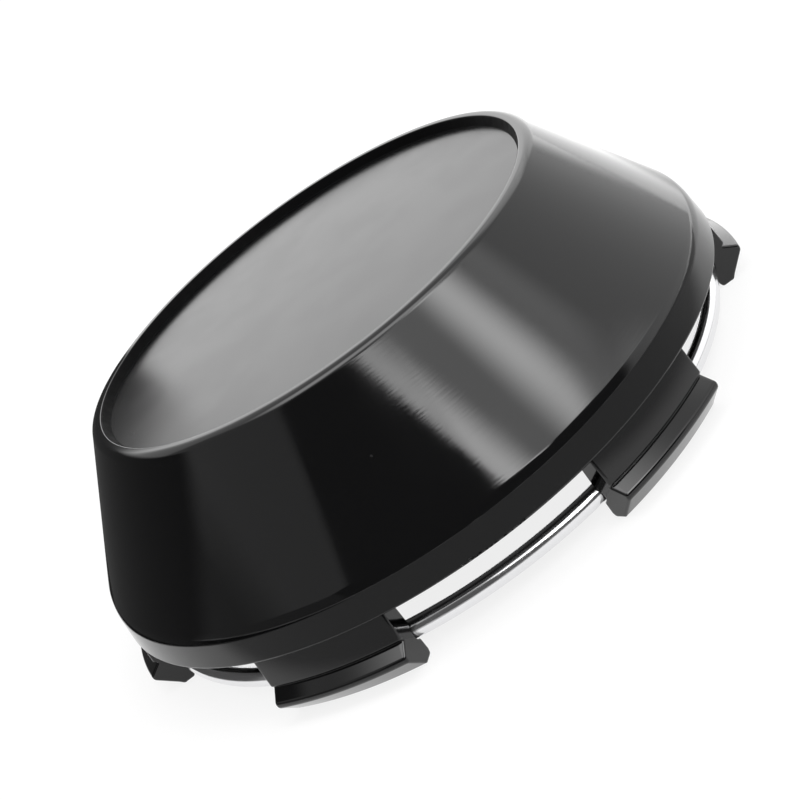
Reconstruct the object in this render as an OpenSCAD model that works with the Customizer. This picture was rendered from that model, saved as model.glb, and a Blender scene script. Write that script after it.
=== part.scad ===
// Snap-in wheel centre cap: one moulded plastic cap with clip fingers, and the spring ring behind them.
// Millimetres. +Z is the cap's axis, towards its face. The origin is on the axis, at the finger tips.

/* [Cap] */
// Outer diameter of the skirt's lower edge
body_d = 75; // [66:0.5:90]
// Height from the skirt's lower edge to the top of the rim
cap_h = 18.9; // [14:0.1:26]
// Height of the skirt, up to the corner where the sloping wall starts
skirt_h = 3.4; // [2.4:0.1:6]
// Lean of the skirt towards the axis, in degrees
skirt_draft = 7; // [0:0.5:12]
// Rounding of the corner between the skirt and the sloping wall
shoulder_round = 3; // [1:0.1:4]
// Rounding of the skirt's lower edge
foot_round = 0.25; // [0.1:0.05:0.6]

/* [Face] */
// Diameter of the recess that takes the emblem, at the rim
recess_d = 52.2; // [44:0.2:56]
// Depth of the recess below the rim
recess_depth = 1; // [0.9:0.1:2.4]
// How far the recess wall leans in, from the rim to the floor
recess_lean = 0.5; // [0:0.05:0.6]
// Fillet at the foot of the recess wall
recess_fillet = 0.1; // [0.05:0.05:0.4]
// Width of the rim's top, up to the corner with the sloping wall
rim_w = 1.2; // [1.2:0.05:2.5]
// Rounding of the rim's inner edge
rim_round = 0.3; // [0.1:0.05:0.3]
// Rounding from the rim's top to the sloping wall
rim_shoulder = 1.1; // [0.3:0.1:1.2]

/* [Shell] */
// Thickness of the face plate
face_t = 2; // [1.2:0.1:4]
// Thickness of the sloping wall
wall_t = 2; // [1.2:0.1:3]
// Fillet inside, where the face plate meets the wall
cavity_fillet = 1.5; // [0.5:0.1:3]

/* [Clip fingers] */
// Number of fingers
finger_n = 6; // [4:1:8]
// Width of a finger
finger_w = 15.4; // [8:0.2:18]
// Thickness of a finger at its root
finger_t = 2.25; // [1.8:0.05:3]
// Length of a finger below the skirt
finger_len = 7.1; // [6.6:0.1:10]
// How far the finger's outer face leans out at the barb
finger_lean = 0.35; // [0:0.05:0.5]

/* [Barb] */
// Distance from the skirt down to the barb
barb_drop = 3.1; // [2.4:0.1:3.4]
// Depth of the undercut above the barb
barb_undercut = 0.35; // [0.1:0.05:0.6]
// How far the barb stands out of the finger
barb_out = 1.15; // [0.6:0.05:1.6]
// Height of the barb's sloping upper face
barb_rise = 0.95; // [0.5:0.05:1.2]
// Height of the barb's blunt edge
barb_land = 0.55; // [0.3:0.05:0.8]
// Rounding of the barb's edges
barb_round = 0.25; // [0.1:0.05:0.25]
// Width of the flat at the finger's tip
tip_w = 1.2; // [0.8:0.1:1.4]
// Width of the ease on the tip's inner edge
tip_ease = 0.25; // [0.1:0.05:0.4]

/* [Spring ring] */
// Diameter of the ring's wire
wire_d = 2; // [1.4:0.1:2.2]
// How far the wire sits in the fingers' groove
wire_seat = 0.5; // [0.3:0.05:0.7]
// Clearance round the wire in its groove
wire_clear = 0.08; // [0.04:0.02:0.2]
// Height of the wire's middle above the finger tips
wire_h = 2.8; // [2.1:0.05:3]
// Gap between the ring's two ends
ring_gap = 1.6; // [0.8:0.1:6]

/* [Gussets] */
// Thickness of the gusset behind each finger
gusset_t = 1.4; // [0.8:0.1:2.4]
// How far the gusset stands in from the skirt
gusset_reach = 2.6; // [1.6:0.1:4]
// Height above the skirt's lower edge at which the gusset runs out in the wall
gusset_h = 8; // [5:0.2:10]
// How far the gusset runs down behind the finger
gusset_drop = 1.6; // [0.6:0.1:2]

/* [Hidden] */
$fn = 120;

body_r = body_d / 2;
seat_z = finger_len;
rim_z = seat_z + cap_h;
recess_r = recess_d / 2;
recess_z = rim_z - recess_depth;
face_under_z = recess_z - face_t;
rim_r = recess_r + rim_w;
shoulder_r = body_r - skirt_h * tan(skirt_draft);
shoulder_z = seat_z + skirt_h;

// The wall's slope, as the change of radius for each millimetre down
wall_slope = (shoulder_r - rim_r) / (rim_z - shoulder_z);
wall_inset = wall_t * sqrt(1 + wall_slope * wall_slope);
function wall_r(z) = rim_r + (rim_z - z) * wall_slope;
function inner_r(z) = wall_r(z) - wall_inset;

// A finger's outer face starts where the rounding of the skirt's edge ends
finger_r = body_r - foot_round;
finger_mid_r = finger_r - finger_t / 2;
skirt_in_r = finger_r - finger_t;
skirt_in_z = rim_z - (skirt_in_r + wall_inset - rim_r) / wall_slope;
root_z = seat_z + skirt_h / 2;
barb_foot_r = finger_r + finger_lean;
barb_r = barb_foot_r + barb_out;
barb_top_z = seat_z - barb_drop;
barb_edge_z = barb_top_z - barb_undercut / 2 - barb_rise;
tip_in_r = skirt_in_r + tip_ease;

wire_r = wire_d / 2;
ring_r = skirt_in_r + wire_seat - wire_r;
groove_r = wire_r + wire_clear;
ring_gap_a = ring_gap / ring_r * 180 / PI;

// A corner is [r, z, rounding]. These give its two tangent points and its arc's middle.
function unit(v) = v / norm(v);
function turn(a, b) = a.x * b.y - a.y * b.x;
function at(c) = [c.x, c.y];
function toward(c, n) = unit(at(n) - at(c));
function half_angle(p, c, n) = acos(toward(c, p) * toward(c, n)) / 2;
function tangent(c, n, a) = at(c) + toward(c, n) * (c.z / tan(a));
function middle(p, c, n) = at(c) + unit(toward(c, p) + toward(c, n)) * (c.z / sin(half_angle(p, c, n)));

// An outline with rounded corners, listed anticlockwise
module rounded_outline(corners) {
    k = len(corners);
    prev = [for (i = [0:k - 1]) corners[(i + k - 1) % k]];
    next = [for (i = [0:k - 1]) corners[(i + 1) % k]];
    ends = [for (i = [0:k - 1])
        let (a = half_angle(prev[i], corners[i], next[i]))
        [tangent(corners[i], prev[i], a), tangent(corners[i], next[i], a)]];
    round_at = [for (i = [0:k - 1]) if (corners[i].z > 0) i];
    function is_outward(i) = turn(at(corners[i]) - at(prev[i]), at(next[i]) - at(corners[i])) > 0;
    function centre(i) = middle(prev[i], corners[i], next[i]);
    difference() {
        polygon([for (i = [0:k - 1]) each corners[i].z > 0 ? ends[i] : [at(corners[i])]]);
        for (i = round_at)
            if (!is_outward(i)) translate(centre(i)) circle(corners[i].z);
    }
    for (i = round_at)
        if (is_outward(i))
            intersection() {
                polygon([ends[i][0], at(corners[i]), ends[i][1], centre(i)]);
                translate(centre(i)) circle(corners[i].z);
            }
}

// Half section of the hollow cap, from the face to the skirt's lower edge
module shell_section() {
    rounded_outline([
        [0, face_under_z, 0],
        [inner_r(face_under_z), face_under_z, cavity_fillet],
        [skirt_in_r, skirt_in_z, 0],
        [skirt_in_r, seat_z, 0],
        [body_r, seat_z, foot_round],
        [shoulder_r, shoulder_z, shoulder_round],
        [rim_r, rim_z, rim_shoulder],
        [recess_r, rim_z, rim_round],
        [recess_r - recess_lean, recess_z, recess_fillet],
        [0, recess_z, 0],
    ]);
}

// Repeats what stands at the +X side at each finger's place
module each_finger() {
    for (i = [0:finger_n - 1])
        rotate(i * 360 / finger_n) children();
}

// Section of a finger, with its barb outside and the wire's groove inside
module finger_section() {
    difference() {
        rounded_outline([
            [skirt_in_r, root_z, 0],
            [skirt_in_r, 2 * tip_ease, 0],
            [tip_in_r, 0, barb_round],
            [tip_in_r + tip_w, 0, barb_round],
            [barb_r, barb_edge_z - barb_land, barb_round],
            [barb_r, barb_edge_z, barb_round],
            [barb_foot_r - barb_undercut, barb_top_z - barb_undercut / 2, 0],
            [barb_foot_r, barb_top_z, 0],
            [finger_r, seat_z, 0],
            [finger_mid_r, root_z, 0],
        ]);
        translate([ring_r, wire_h]) circle(groove_r);
    }
}

// All the fingers: a ring of their section, cut into lengths with parallel sides
module fingers() {
    intersection() {
        rotate_extrude() finger_section();
        each_finger()
            translate([skirt_in_r - finger_w / 2, -finger_w / 2, 0])
                cube([barb_r - skirt_in_r + finger_w, finger_w, root_z]);
    }
}

// Web behind a finger, from the wall down past the skirt's edge
module gusset() {
    gusset_z = seat_z + gusset_h;
    translate([0, gusset_t / 2, 0]) rotate([90, 0, 0]) linear_extrude(gusset_t)
        polygon([
            [inner_r(gusset_z) + wall_t / 2, gusset_z],
            [skirt_in_r - gusset_reach, seat_z],
            [skirt_in_r - gusset_reach / 2, seat_z - gusset_drop],
            [finger_mid_r, seat_z - gusset_drop],
            [finger_mid_r, skirt_in_z],
        ]);
}

module cap_body() {
    color("#1c1c1d")
        union() {
            rotate_extrude() shell_section();
            fingers();
            each_finger() gusset();
        }
}

// Open ring of round wire, its two cut ends a small gap apart behind one finger
module spring_ring() {
    color("#c9cdd2")
        rotate(180 + ring_gap_a / 2)
            translate([0, 0, wire_h])
                rotate_extrude(angle = 360 - ring_gap_a) translate([ring_r, 0]) circle(wire_r);
}

cap_body();
spring_ring();
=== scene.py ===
import math

import bmesh
import bpy
from mathutils import Matrix, Quaternion, Vector


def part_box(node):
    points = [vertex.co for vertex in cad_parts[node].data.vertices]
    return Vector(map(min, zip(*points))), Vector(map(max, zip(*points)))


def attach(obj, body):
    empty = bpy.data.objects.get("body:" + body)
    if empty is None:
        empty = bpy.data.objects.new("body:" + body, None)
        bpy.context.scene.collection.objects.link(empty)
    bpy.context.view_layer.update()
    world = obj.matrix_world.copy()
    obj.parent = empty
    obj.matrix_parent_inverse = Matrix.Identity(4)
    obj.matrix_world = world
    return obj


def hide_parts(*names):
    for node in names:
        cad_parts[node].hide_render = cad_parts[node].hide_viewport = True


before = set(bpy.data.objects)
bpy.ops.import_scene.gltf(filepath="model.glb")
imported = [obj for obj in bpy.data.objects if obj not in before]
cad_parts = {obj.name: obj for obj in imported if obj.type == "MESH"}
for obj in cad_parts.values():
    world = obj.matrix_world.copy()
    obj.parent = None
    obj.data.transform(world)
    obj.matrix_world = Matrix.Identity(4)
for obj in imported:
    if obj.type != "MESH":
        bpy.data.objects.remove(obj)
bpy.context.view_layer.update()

# The camera
# It looks down on the cap from close in, towards a gap between two fingers, and it is rolled to one side.
# Its angles, distance and lens were fitted to the photograph's view of the cap.
mm = 0.001
view_azimuth = math.radians(-88.02)
view_elevation = math.radians(22.34)
view_distance = 199.27 * mm
view_roll = math.radians(-37.21)
aimed_at = Vector((0.06, 0.42, 8.10)) * mm

camera = bpy.data.objects.new("camera", bpy.data.cameras.new("camera"))
camera.data.sensor_width = 36
camera.data.lens = 83.73
camera.data.clip_start = 0.01
camera.data.clip_end = 100


def direction(azimuth, elevation):
    """The unit vector that points at an azimuth and an elevation, both in radians."""
    flat = math.cos(elevation)
    return Vector((flat * math.cos(azimuth), flat * math.sin(azimuth), math.sin(elevation)))


toward_camera = direction(view_azimuth, view_elevation)
camera.rotation_mode = "QUATERNION"
camera.location = aimed_at + toward_camera * view_distance
camera.rotation_quaternion = (-toward_camera).to_track_quat("-Z", "Y") @ Quaternion((0, 0, 1), view_roll)
bpy.context.collection.objects.link(camera)
bpy.context.scene.camera = camera

# The moulding's shell
# The cap is one piece of black ABS: a rounded rim round a shallow recess, a sloping wall and a short skirt.
# Its half section is swept once round the axis, because it leaves the tool with no seam on its show faces.
cap_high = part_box("cap_body")[1]
seat_z = 7.1 * mm
body_r = 37.5 * mm
foot_round = 0.25 * mm
skirt_h = 3.4 * mm
recess_r = 26.1 * mm
recess_lean = 0.5 * mm
recess_depth = 1 * mm
rim_w = 1.2 * mm
face_t = 2 * mm
wall_t = 2 * mm
finger_t = 2.25 * mm

rim_z = cap_high.z
recess_floor_r = recess_r - recess_lean
recess_z = rim_z - recess_depth
face_under_z = recess_z - face_t
rim_r = recess_r + rim_w
shoulder_r = 37.083 * mm
shoulder_z = seat_z + skirt_h
finger_r = body_r - foot_round
skirt_in_r = finger_r - finger_t
wall_slope = (shoulder_r - rim_r) / (rim_z - shoulder_z)
wall_inset = wall_t * math.hypot(1, wall_slope)
cavity_r = rim_r + (rim_z - face_under_z) * wall_slope - wall_inset
skirt_in_z = rim_z - (skirt_in_r + wall_inset - rim_r) / wall_slope

# Each corner is its radius and height, and the rounding that the tool gives it
shell_corners = [
    (0, face_under_z, 0),
    (cavity_r, face_under_z, 1.5 * mm),
    (skirt_in_r, skirt_in_z, 0.8 * mm),
    (skirt_in_r, seat_z, 0.12 * mm),
    (body_r, seat_z, foot_round),
    (shoulder_r, shoulder_z, 3 * mm),
    (rim_r, rim_z, 1.1 * mm),
    (recess_r, rim_z, 0.3 * mm),
    (recess_floor_r, recess_z, 0.1 * mm),
    (0, recess_z, 0),
]


def draw_section(shape, corners, closed):
    """Draws a section in the XZ plane, with each corner rounded by a vertex bevel."""
    points = [shape.verts.new((r, 0, z)) for r, z, rounding in corners]
    pairs = list(zip(points, points[1:]))
    if closed:
        pairs.append((points[-1], points[0]))
    for pair in pairs:
        shape.edges.new(pair)
    for point, (r, z, rounding) in zip(points, corners):
        if rounding:
            ways = [edge.other_vert(point).co - point.co for edge in point.link_edges]
            reach = rounding / math.tan(ways[0].angle(ways[1]) / 2)
            bmesh.ops.bevel(shape, geom=[point], offset=reach, offset_type="OFFSET", segments=10,
                            profile=0.5, affect="VERTICES", material=-1)


def make_piece(name, shape):
    """Turns a mesh under construction into an object at the origin."""
    mesh = bpy.data.meshes.new(name)
    shape.to_mesh(mesh)
    shape.free()
    piece = bpy.data.objects.new(name, mesh)
    bpy.context.collection.objects.link(piece)
    return piece


shell = bmesh.new()
draw_section(shell, shell_corners, closed=False)
bmesh.ops.spin(shell, geom=shell.verts[:] + shell.edges[:], cent=(0, 0, 0), axis=(0, 0, 1),
               angle=math.tau, steps=360, use_merge=True)
bmesh.ops.remove_doubles(shell, verts=shell.verts, dist=0.001 * mm)
bmesh.ops.recalc_face_normals(shell, faces=shell.faces)
cap = make_piece("cap_moulding", shell)

# The clip fingers
# Six short fingers stand on the skirt's underside, flush with its edge, and are part of the same moulding.
# Each has a barb outside, a groove inside that the spring ring snaps into, and parallel sides.
finger_count = 6
finger_w = 15.4 * mm
finger_lean = 0.35 * mm
finger_root_z = seat_z + 0.6 * mm
barb_drop = 3.1 * mm
barb_undercut = 0.35 * mm
barb_rise = 0.95 * mm
barb_land = 0.55 * mm
barb_foot_r = finger_r + finger_lean
barb_r = cap_high.x
barb_top_z = seat_z - barb_drop
barb_edge_z = barb_top_z - barb_undercut / 2 - barb_rise
tip_ease = 0.25 * mm
tip_in_r = skirt_in_r + tip_ease
tip_w = 1.2 * mm
wire_clear = 0.08 * mm
ring_low, ring_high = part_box("spring_ring")
wire_r = (ring_high.z - ring_low.z) / 2
wire_z = (ring_high.z + ring_low.z) / 2
ring_r = ring_high.x - wire_r
groove_r = wire_r + wire_clear
groove_half = math.acos((skirt_in_r - ring_r) / groove_r)
groove_steps = 12
finger_edge = 0.25 * mm
finger_half_angle = math.radians(15)

groove = []
for step in range(groove_steps + 1):
    turn = groove_half * (1 - 2 * step / groove_steps)
    groove.append((ring_r + groove_r * math.cos(turn), wire_z + groove_r * math.sin(turn), 0))
finger_corners = groove + [
    (skirt_in_r, 2 * tip_ease, 0),
    (tip_in_r, 0, 0.32 * mm),
    (tip_in_r + tip_w, 0, 0.4 * mm),
    (barb_r, barb_edge_z - barb_land, 0.5 * mm),
    (barb_r, barb_edge_z, 0.4 * mm),
    (barb_foot_r - barb_undercut, barb_top_z - barb_undercut / 2, 0.08 * mm),
    (barb_foot_r, barb_top_z, 0.3 * mm),
    (finger_r, seat_z, 0),
    (finger_r - finger_root_z + seat_z, finger_root_z, 0),
    (skirt_in_r + 0.3 * mm, finger_root_z, 0),
    (skirt_in_r + 0.01 * mm, seat_z, 0),
]


def open_edges(shape):
    return [edge for edge in shape.edges if edge.is_boundary]


def cut_side(shape, y):
    """Cuts a finger off square at one side and closes the cut."""
    bmesh.ops.bisect_plane(shape, geom=shape.verts[:] + shape.edges[:] + shape.faces[:],
                           plane_co=(0, y, 0), plane_no=(0, y, 0), clear_outer=True)
    bmesh.ops.holes_fill(shape, edges=open_edges(shape), sides=0)


def finger_shape():
    shape = bmesh.new()
    draw_section(shape, finger_corners, closed=True)
    bmesh.ops.rotate(shape, verts=shape.verts, cent=(0, 0, 0),
                     matrix=Matrix.Rotation(-finger_half_angle, 3, "Z"))
    bmesh.ops.spin(shape, geom=shape.verts[:] + shape.edges[:], cent=(0, 0, 0), axis=(0, 0, 1),
                   angle=2 * finger_half_angle, steps=30, use_merge=False)
    for y in (finger_w / 2, -finger_w / 2):
        cut_side(shape, y)
    bmesh.ops.recalc_face_normals(shape, faces=shape.faces)
    side_edges = [edge for edge in shape.edges
                  if all(abs(abs(end.co.y) - finger_w / 2) < 0.001 * mm for end in edge.verts)]
    bmesh.ops.bevel(shape, geom=side_edges, offset=finger_edge, offset_type="OFFSET", segments=4, profile=0.5,
                    affect="EDGES", clamp_overlap=False, material=-1)
    return shape


def repeat_round(name, make_shape, count):
    """Makes one object of several like shapes, evenly spaced round the axis."""
    whole = bmesh.new()
    for place in range(count):
        shape = make_shape()
        bmesh.ops.rotate(shape, verts=shape.verts, cent=(0, 0, 0),
                         matrix=Matrix.Rotation(place * math.tau / count, 3, "Z"))
        mesh = bpy.data.meshes.new(name)
        shape.to_mesh(mesh)
        shape.free()
        whole.from_mesh(mesh)
        bpy.data.meshes.remove(mesh)
    return make_piece(name, whole)


def combine(piece, other, operation):
    """Fuses a piece with what is moulded on it, or takes the other shape out of it."""
    boolean = piece.modifiers.new("combine", "BOOLEAN")
    boolean.operation = operation
    boolean.solver = "MANIFOLD"
    boolean.object = other
    combined = bpy.data.meshes.new_from_object(piece.evaluated_get(bpy.context.evaluated_depsgraph_get()))
    piece.modifiers.remove(boolean)
    piece.data = combined
    bpy.data.objects.remove(other)


combine(cap, repeat_round("fingers", finger_shape, finger_count), "UNION")

# The gussets
# A thin web behind each finger runs from the wall down past the skirt's edge.
# It is part of the same moulding, and keeps the finger's root stiff.
gusset_t = 1.4 * mm
gusset_reach = 2.6 * mm
gusset_round = 0.5 * mm
gusset_foot_z = seat_z - 1.6 * mm
gusset_top_z = seat_z + 8 * mm
gusset_top_r = rim_r + (rim_z - gusset_top_z) * wall_slope - wall_inset + wall_t / 2
finger_mid_r = finger_r - 1.1 * mm
gusset_corners = [
    (gusset_top_r, gusset_top_z, 0),
    (skirt_in_r - gusset_reach, seat_z, gusset_round),
    (skirt_in_r - gusset_reach / 2, gusset_foot_z, gusset_round),
    (finger_mid_r, gusset_foot_z, 0),
    (finger_mid_r, skirt_in_z, 0),
]


def gusset_shape():
    shape = bmesh.new()
    draw_section(shape, gusset_corners, closed=True)
    face = bmesh.ops.contextual_create(shape, geom=shape.edges[:])["faces"]
    bmesh.ops.translate(shape, verts=shape.verts, vec=(0, -gusset_t / 2, 0))
    thick = bmesh.ops.extrude_face_region(shape, geom=face)
    bmesh.ops.translate(shape, verts=[v for v in thick["geom"] if isinstance(v, bmesh.types.BMVert)],
                        vec=(0, gusset_t, 0))
    bmesh.ops.recalc_face_normals(shape, faces=shape.faces)
    return shape


combine(cap, repeat_round("gussets", gusset_shape, finger_count), "UNION")

# The nicks
# The skirt's lower edge is chipped at the near side: a ragged row of shallow nicks, cut into the moulding.
# Each is its azimuth in degrees, and in millimetres its length, its height and how far up its middle lies.
nicks = [
    (-94.5, 0.8, 0.38, 0.22), (-93.3, 0.65, 0.46, 0.28), (-92.4, 0.45, 0.30, 0.20), (-91.75, 0.3, 0.24, 0.26),
    (-90.7, 0.3, 0.22, 0.16), (-90.05, 0.45, 0.26, 0.20), (-89.1, 0.5, 0.20, 0.14), (-87.6, 0.4, 0.22, 0.16),
    (-86.4, 0.25, 0.16, 0.14), (-85.1, 0.5, 0.28, 0.18), (-84.35, 0.3, 0.34, 0.24),
]
nick_depth = 0.2 * mm
nick_r = body_r - 0.04 * mm
most_slant = 12
cutters = bmesh.new()
for azimuth, length, height, rise in nicks:
    slant = most_slant * math.sin(7 * azimuth)
    cutter_place = (Matrix.Rotation(math.radians(azimuth), 4, "Z")
                    @ Matrix.Translation((nick_r, 0, seat_z + rise * mm))
                    @ Matrix.Rotation(math.radians(slant), 4, "X")
                    @ Matrix.Diagonal((nick_depth, length * mm / 2, height * mm / 2, 1)))
    bmesh.ops.create_icosphere(cutters, subdivisions=2, radius=1, matrix=cutter_place)
combine(cap, make_piece("nicks", cutters), "DIFFERENCE")
sharp_angle = math.radians(32)
cap.data.shade_smooth()
cap.data.set_sharp_from_angle(angle=sharp_angle)
evened = cap.modifiers.new("even shading", "WEIGHTED_NORMAL")
evened.keep_sharp = True

# The black plastic
# Glossy black ABS. The wall comes from a polished tool and has fine rubbing marks round it, the recess is
# satin, and a few specks and pits show in the gloss.
moulding_black = (0.002, 0.002, 0.0022, 1)
plastic = bpy.data.materials.new("black plastic")
plastic.use_nodes = True
nodes = plastic.node_tree.nodes
links = plastic.node_tree.links
shader = nodes["Principled BSDF"]
shader.inputs["Base Color"].default_value = moulding_black
shader.inputs["IOR"].default_value = 1.5
place = nodes.new("ShaderNodeTexCoord")
split = nodes.new("ShaderNodeSeparateXYZ")
links.new(place.outputs["Object"], split.inputs["Vector"])


# The helpers add to the current material, the one that nodes and links belong to when they are called
def math_node(operation, *values, clamp=False):
    """Adds a Math node whose inputs are numbers or other nodes' outputs, and returns its output."""
    node = nodes.new("ShaderNodeMath")
    node.operation = operation
    node.use_clamp = clamp
    for socket, value in zip(node.inputs, values):
        if isinstance(value, bpy.types.NodeSocket):
            links.new(value, socket)
        else:
            socket.default_value = value
    return node.outputs["Value"]


def ramp_node(value, low, high, from_low, to_high):
    """Adds a smooth Map Range node from low..high to from_low..to_high, and returns its output."""
    node = nodes.new("ShaderNodeMapRange")
    node.interpolation_type = "SMOOTHSTEP"
    links.new(value, node.inputs["Value"])
    for socket, setting in zip(("From Min", "From Max", "To Min", "To Max"), (low, high, from_low, to_high)):
        node.inputs[socket].default_value = setting
    return node.outputs["Result"]


def noise_node(vector, scale, detail, roughness=0.5):
    node = nodes.new("ShaderNodeTexNoise")
    node.inputs["Scale"].default_value = scale
    node.inputs["Detail"].default_value = detail
    node.inputs["Roughness"].default_value = roughness
    links.new(vector, node.inputs["Vector"])
    return node.outputs["Fac"]


# Round the cap and up it: the length along the circumference, and the height, for marks that follow the rim
unrolled_r = 32 * mm
from_axis = math_node("SQRT", math_node("ADD", math_node("MULTIPLY", split.outputs["X"], split.outputs["X"]),
                                        math_node("MULTIPLY", split.outputs["Y"], split.outputs["Y"])))
around = math_node("ARCTAN2", split.outputs["X"], math_node("MULTIPLY", split.outputs["Y"], -1))
unrolled = nodes.new("ShaderNodeCombineXYZ")
links.new(math_node("MULTIPLY", around, unrolled_r), unrolled.inputs["X"])
links.new(split.outputs["Z"], unrolled.inputs["Y"])


def stretched(along, across):
    node = nodes.new("ShaderNodeMapping")
    node.inputs["Scale"].default_value = (along, across, 1)
    links.new(unrolled.outputs["Vector"], node.inputs["Vector"])
    return node.outputs["Vector"]


in_recess = math_node("MULTIPLY", math_node("COMPARE", split.outputs["Z"], recess_z, 0.05 * mm),
                      math_node("LESS_THAN", from_axis, recess_floor_r))
on_wall = math_node("MULTIPLY", math_node("GREATER_THAN", from_axis, rim_r - 0.4 * mm),
                    math_node("GREATER_THAN", split.outputs["Z"], shoulder_z - 0.5 * mm))

hairlines = noise_node(stretched(330, 5000), 1, 3, 0.6)
rubbed = ramp_node(noise_node(stretched(70, 150), 1, 2), 0.4, 0.62, 0.3, 1)
scratches = math_node("MULTIPLY", math_node("MULTIPLY", hairlines, rubbed), on_wall)
out_of_recess = math_node("SUBTRACT", 1, in_recess)
peel = math_node("MULTIPLY", noise_node(place.outputs["Object"], 420, 2), out_of_recess)
waves = math_node("MULTIPLY", noise_node(place.outputs["Object"], 42, 1), out_of_recess)
grain = math_node("MULTIPLY", noise_node(place.outputs["Object"], 5200, 2), in_recess)
specks = nodes.new("ShaderNodeTexVoronoi")
specks.inputs["Scale"].default_value = 260
links.new(place.outputs["Object"], specks.inputs["Vector"])
chance = nodes.new("ShaderNodeSeparateColor")
links.new(specks.outputs["Color"], chance.inputs["Color"])
speck = math_node("MULTIPLY", ramp_node(specks.outputs["Distance"], 0.03, 0.06, 1, 0),
                  math_node("GREATER_THAN", chance.outputs["Red"], 0.93))


def bump_node(height, distance, strength, under=None):
    node = nodes.new("ShaderNodeBump")
    node.inputs["Strength"].default_value = strength
    node.inputs["Distance"].default_value = distance
    links.new(height, node.inputs["Height"])
    if under:
        links.new(under, node.inputs["Normal"])
    return node.outputs["Normal"]


relief = bump_node(waves, 0.05 * mm, 1)
relief = bump_node(peel, 0.0008 * mm, 1, relief)
relief = bump_node(scratches, 0.0034 * mm, 1, relief)
relief = bump_node(grain, 0.0012 * mm, 1, relief)
relief = bump_node(speck, 0.012 * mm, 0.6, relief)
links.new(relief, shader.inputs["Normal"])

gloss = ramp_node(noise_node(place.outputs["Object"], 120, 3), 0.35, 0.65, 0.05, 0.09)
gloss = math_node("ADD", gloss, math_node("MULTIPLY", in_recess, 0.15))
gloss = math_node("ADD", gloss, math_node("MULTIPLY", speck, 0.3), clamp=True)
links.new(gloss, shader.inputs["Roughness"])
cap.data.materials.clear()
cap.data.materials.append(plastic)

# The recess wall looks black where it can be seen, so it is taken to be matt all round
matt = bpy.data.materials.new("matt recess wall")
matt.use_nodes = True
nodes = matt.node_tree.nodes
links = matt.node_tree.links
shader = nodes["Principled BSDF"]
shader.inputs["Base Color"].default_value = moulding_black
shader.inputs["Specular IOR Level"].default_value = 0.04
place = nodes.new("ShaderNodeTexCoord")
matt_roughness = ramp_node(noise_node(place.outputs["Object"], 900, 2), 0.3, 0.7, 0.55, 0.65)
links.new(matt_roughness, shader.inputs["Roughness"])
cap.data.materials.append(matt)
matt_from_r = recess_floor_r - 0.07 * mm
matt_to_r = recess_r + 0.06 * mm
matt_top_z = rim_z - 0.04 * mm
for face in cap.data.polygons:
    middle_r = math.hypot(face.center.x, face.center.y)
    if matt_from_r < middle_r < matt_to_r and recess_z < face.center.z < matt_top_z:
        face.material_index = 1
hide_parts("cap_body")
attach(cap, "root")

# The spring ring
# Round bright spring wire, bent to a ring with its two cut ends a small gap apart behind one finger.
ring_gap = 1.6 * mm
ring_gap_angle = ring_gap / ring_r
wire_edge = 0.15 * mm
wire = bmesh.new()
bmesh.ops.create_circle(wire, cap_ends=True, radius=wire_r, segments=40)
bmesh.ops.rotate(wire, verts=wire.verts, cent=(0, 0, 0), matrix=Matrix.Rotation(math.pi / 2, 3, "X"))
bmesh.ops.translate(wire, verts=wire.verts, vec=(ring_r, 0, wire_z))
bmesh.ops.rotate(wire, verts=wire.verts, cent=(0, 0, 0),
                 matrix=Matrix.Rotation(math.pi + ring_gap_angle / 2, 3, "Z"))
bmesh.ops.spin(wire, geom=wire.verts[:] + wire.edges[:] + wire.faces[:], cent=(0, 0, 0), axis=(0, 0, 1),
               angle=math.tau - ring_gap_angle, steps=240, use_merge=False)
bmesh.ops.holes_fill(wire, edges=open_edges(wire), sides=0)
bmesh.ops.recalc_face_normals(wire, faces=wire.faces)
rims = [edge for edge in wire.edges if edge.is_manifold and edge.calc_face_angle() > math.radians(60)]
bmesh.ops.bevel(wire, geom=rims, offset=wire_edge, offset_type="OFFSET", segments=3, profile=0.5,
                affect="EDGES", material=-1)
ring = make_piece("spring_wire", wire)
ring.data.shade_smooth()
ring.data.set_sharp_from_angle(angle=sharp_angle)

steel = bpy.data.materials.new("bright wire")
steel.use_nodes = True
nodes = steel.node_tree.nodes
links = steel.node_tree.links
shader = nodes["Principled BSDF"]
shader.inputs["Base Color"].default_value = (0.8, 0.8, 0.81, 1)
shader.inputs["Metallic"].default_value = 1
place = nodes.new("ShaderNodeTexCoord")
split = nodes.new("ShaderNodeSeparateXYZ")
links.new(place.outputs["Object"], split.inputs["Vector"])
around = math_node("ARCTAN2", split.outputs["X"], math_node("MULTIPLY", split.outputs["Y"], -1))
unrolled = nodes.new("ShaderNodeCombineXYZ")
links.new(math_node("MULTIPLY", around, ring_r), unrolled.inputs["X"])
links.new(split.outputs["Z"], unrolled.inputs["Y"])
drawn = noise_node(stretched(90, 9000), 1, 3)
links.new(bump_node(drawn, 0.0012 * mm, 1), shader.inputs["Normal"])
steel_roughness = ramp_node(noise_node(place.outputs["Object"], 300, 3), 0.3, 0.7, 0.1, 0.2)
links.new(steel_roughness, shader.inputs["Roughness"])
ring.data.materials.append(steel)
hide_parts("spring_ring")
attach(ring, "root")

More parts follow.
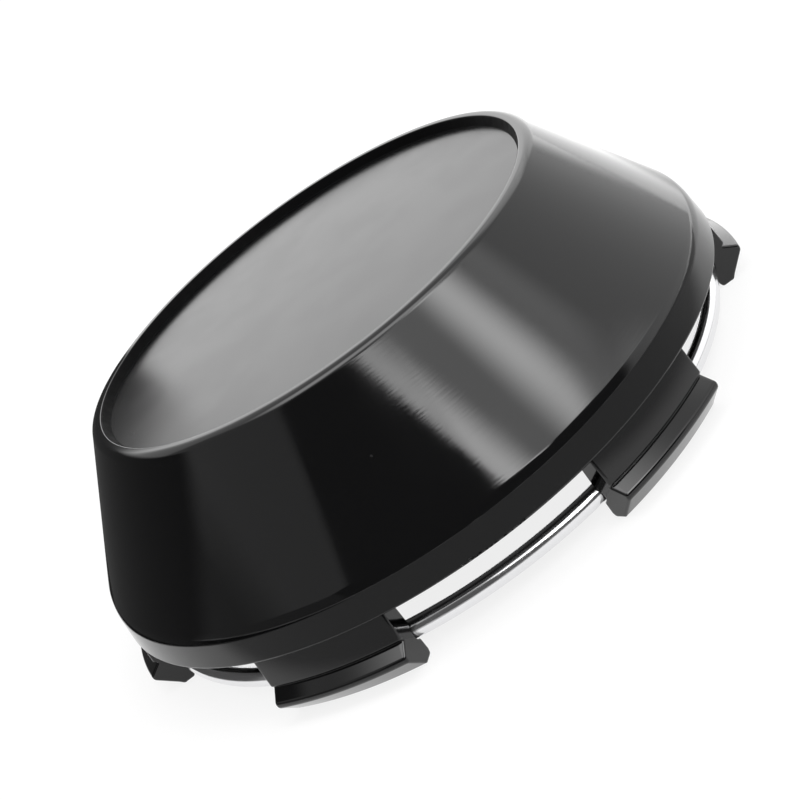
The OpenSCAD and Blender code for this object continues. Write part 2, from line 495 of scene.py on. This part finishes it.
# The floor
# A plain pale studio floor. What the camera, gloss and glass see of it is mostly its own white, and the rest
# takes the cap's shadow.
floor_shape = bmesh.new()
bmesh.ops.create_grid(floor_shape, x_segments=1, y_segments=1, size=20)
floor = make_piece("floor", floor_shape)
paper = bpy.data.materials.new("floor paper")
paper.use_nodes = True
nodes = paper.node_tree.nodes
links = paper.node_tree.links
shader = nodes["Principled BSDF"]
shader.inputs["Base Color"].default_value = (0.85, 0.85, 0.85, 1)
shader.inputs["Roughness"].default_value = 0.9
own_white_level = 1.045
own_white_share = 0.8
own_white = nodes.new("ShaderNodeEmission")
own_white.inputs["Strength"].default_value = own_white_level


def looked_at():
    """Is 1 for what the camera sees, directly or in gloss or through glass."""
    seen_by = nodes.new("ShaderNodeLightPath")
    camera_or_gloss = math_node("ADD", seen_by.outputs["Is Camera Ray"], seen_by.outputs["Is Glossy Ray"])
    return math_node("ADD", camera_or_gloss, seen_by.outputs["Is Transmission Ray"], clamp=True)


blend = nodes.new("ShaderNodeMixShader")
links.new(math_node("MULTIPLY", looked_at(), own_white_share), blend.inputs["Fac"])
links.new(shader.outputs["BSDF"], blend.inputs[1])
links.new(own_white.outputs["Emission"], blend.inputs[2])
links.new(blend.outputs["Shader"], nodes["Material Output"].inputs["Surface"])
floor.data.materials.append(paper)

# The studio's panels
# Soft boxes stand round the cap where the photograph's gloss is bright, and grey and black cards where it is
# dark. The camera doesn't see them, and the cards take no light away from anything but gloss.


def facing(azimuth, elevation, width, height, distance=0.9, tilt=0):
    """A square of size 2, sized and placed to face the cap. Angles are degrees, seen from the cap."""
    outward = direction(math.radians(azimuth), math.radians(elevation))
    upward = direction(math.radians(azimuth), math.radians(elevation + 90))
    turned = Matrix((upward.cross(outward), upward, outward)).transposed().to_4x4()
    half_width = math.tan(math.radians(width / 2)) * distance
    half_height = math.tan(math.radians(height / 2)) * distance
    return (Matrix.Translation(outward * distance) @ turned @ Matrix.Rotation(math.radians(tilt), 4, "Z")
            @ Matrix.Diagonal((half_width, half_height, 1, 1)))


def lying(azimuth, near, far, width, height=1 * mm):
    """A square of size 2, laid just above the floor from near to far, in metres from the cap's axis."""
    outward = direction(math.radians(azimuth), 0)
    return (Matrix.Translation(outward * (near + far) / 2 + Vector((0, 0, height)))
            @ Matrix.Rotation(math.radians(azimuth - 90), 4, "Z")
            @ Matrix.Diagonal((width / 2, (far - near) / 2, 1, 1)))


# Each is its place, its level, and the shares of it over which its left, right, lower and upper edges
# die away. A lamp adds its light to what is behind it, and a card hides it.
lamps = {
    "box_near": (facing(-77.2, 41.2, 8, 44, tilt=54), 5.8, (0.14, 0.75, 0.1, 0.3)),
    "box_far": (facing(-42.3, 49, 24.5, 36), 5.8, (0.5, 0.5, 0.06, 0.3)),
    "box_wide": (facing(-44.5, 48, 57, 36), 1, (0.12, 0.2, 0.06, 0.3)),
    "box_foot": (facing(-18, 24.8, 42, 6, tilt=-20), 1.1, (0.2, 0.5, 0.4, 0.4)),
    "side_fill": (facing(16, 18, 84, 64), 0.25, (0.2, 0.3, 0.15, 0.3)),
    "low_side": (facing(62, 2, 44, 20), 0.8, (0.4, 0.4, 0.1, 0.85)),
    "low_sheet": (lying(66, 0.058, 0.95, 0.6), 0.8, (0.25, 0.3, 0.04, 0.1)),
    "back_sweep": (facing(85, 18, 84, 44), 0.95, (0.15, 0.12, 0.05, 0.4)),
    "high_side": (facing(50, 42, 46, 34), 1.2, (0.3, 0.3, 0.3, 0.3)),
    "top_light": (facing(-90, 82, 70, 40), 3.4, (0.3, 0.3, 0.4, 0.4)),
}
cards = {
    "front_card": (facing(-68, 13, 90, 38, distance=1.2), 0.1, (0.08, 0.12, 0.02, 0.05)),
    "sill_card": (facing(-88, 28, 40, 18, distance=1.1), 0.1, (0.1, 0.2, 0.1, 0.1)),
    "left_card": (facing(-113.5, 24, 59, 80, distance=1.3), 0.1, (0.06, 0.05, 0.02, 0.3)),
    "grey_card": (facing(-170, 42, 58, 44, distance=1.25), 0.46, (0.12, 0.08, 0.1, 0.2)),
    "low_card": (facing(-171, 6, 74, 42, distance=1.2, tilt=5), 0.2, (0.12, 0.08, 0.1, 0.15)),
    "dark_card": (facing(157, 16, 78, 62, distance=0.056), 0.08, (0.06, 0.1, 0.02, 0.1)),
    "floor_card": (lying(-115, 0.041, 0.42, 0.5), 0.45, (0.1, 0.1, 0.02, 0.1)),
    "floor_card_right": (lying(-42, 0.043, 0.42, 0.24, height=2 * mm), 0.45, (0.1, 0.1, 0.02, 0.1)),
    "floor_card_left": (lying(165, 0.045, 0.3, 0.3, height=3 * mm), 0.02, (0.1, 0.1, 0.02, 0.1)),
}
for name, (where, level, fades) in (lamps | cards).items():
    shape = bmesh.new()
    shape.loops.layers.uv.new("panel")
    bmesh.ops.create_grid(shape, x_segments=1, y_segments=1, size=1, calc_uvs=True, matrix=where)
    board = make_piece(name, shape)
    glow = bpy.data.materials.new(name)
    glow.use_nodes = True
    nodes = glow.node_tree.nodes
    links = glow.node_tree.links
    nodes.remove(nodes["Principled BSDF"])
    on_panel = nodes.new("ShaderNodeTexCoord")
    split = nodes.new("ShaderNodeSeparateXYZ")
    links.new(on_panel.outputs["UV"], split.inputs["Vector"])
    left, right, lower, upper = fades
    shown = math_node(
        "MULTIPLY",
        math_node("MULTIPLY", ramp_node(split.outputs["X"], 0, left, 0, 1),
                  ramp_node(split.outputs["X"], 1 - right, 1, 1, 0)),
        math_node("MULTIPLY", ramp_node(split.outputs["Y"], 0, lower, 0, 1),
                  ramp_node(split.outputs["Y"], 1 - upper, 1, 1, 0)))
    light = nodes.new("ShaderNodeEmission")
    clear = nodes.new("ShaderNodeBsdfTransparent")
    if name in cards:
        both = nodes.new("ShaderNodeMixShader")
        light.inputs["Strength"].default_value = level
        links.new(shown, both.inputs["Fac"])
        links.new(clear.outputs["BSDF"], both.inputs[1])
        links.new(light.outputs["Emission"], both.inputs[2])
    else:
        both = nodes.new("ShaderNodeAddShader")
        links.new(math_node("MULTIPLY", shown, level), light.inputs["Strength"])
        links.new(clear.outputs["BSDF"], both.inputs[0])
        links.new(light.outputs["Emission"], both.inputs[1])
    links.new(both.outputs["Shader"], nodes["Material Output"].inputs["Surface"])
    board.data.materials.append(glow)
    board.visible_camera = False
    board.visible_shadow = False
    board.visible_diffuse = name in lamps

# The world
# White for the camera, gloss and glass, and dimmer as a light.
room_light = 0.45
world = bpy.data.worlds.new("studio")
world.use_nodes = True
nodes = world.node_tree.nodes
links = world.node_tree.links
room = nodes["Background"]
room.inputs["Color"].default_value = (1, 1, 1, 1)
links.new(ramp_node(looked_at(), 0, 1, room_light, 1), room.inputs["Strength"])
bpy.context.scene.world = world
bpy.context.scene.view_settings.view_transform = "Standard"
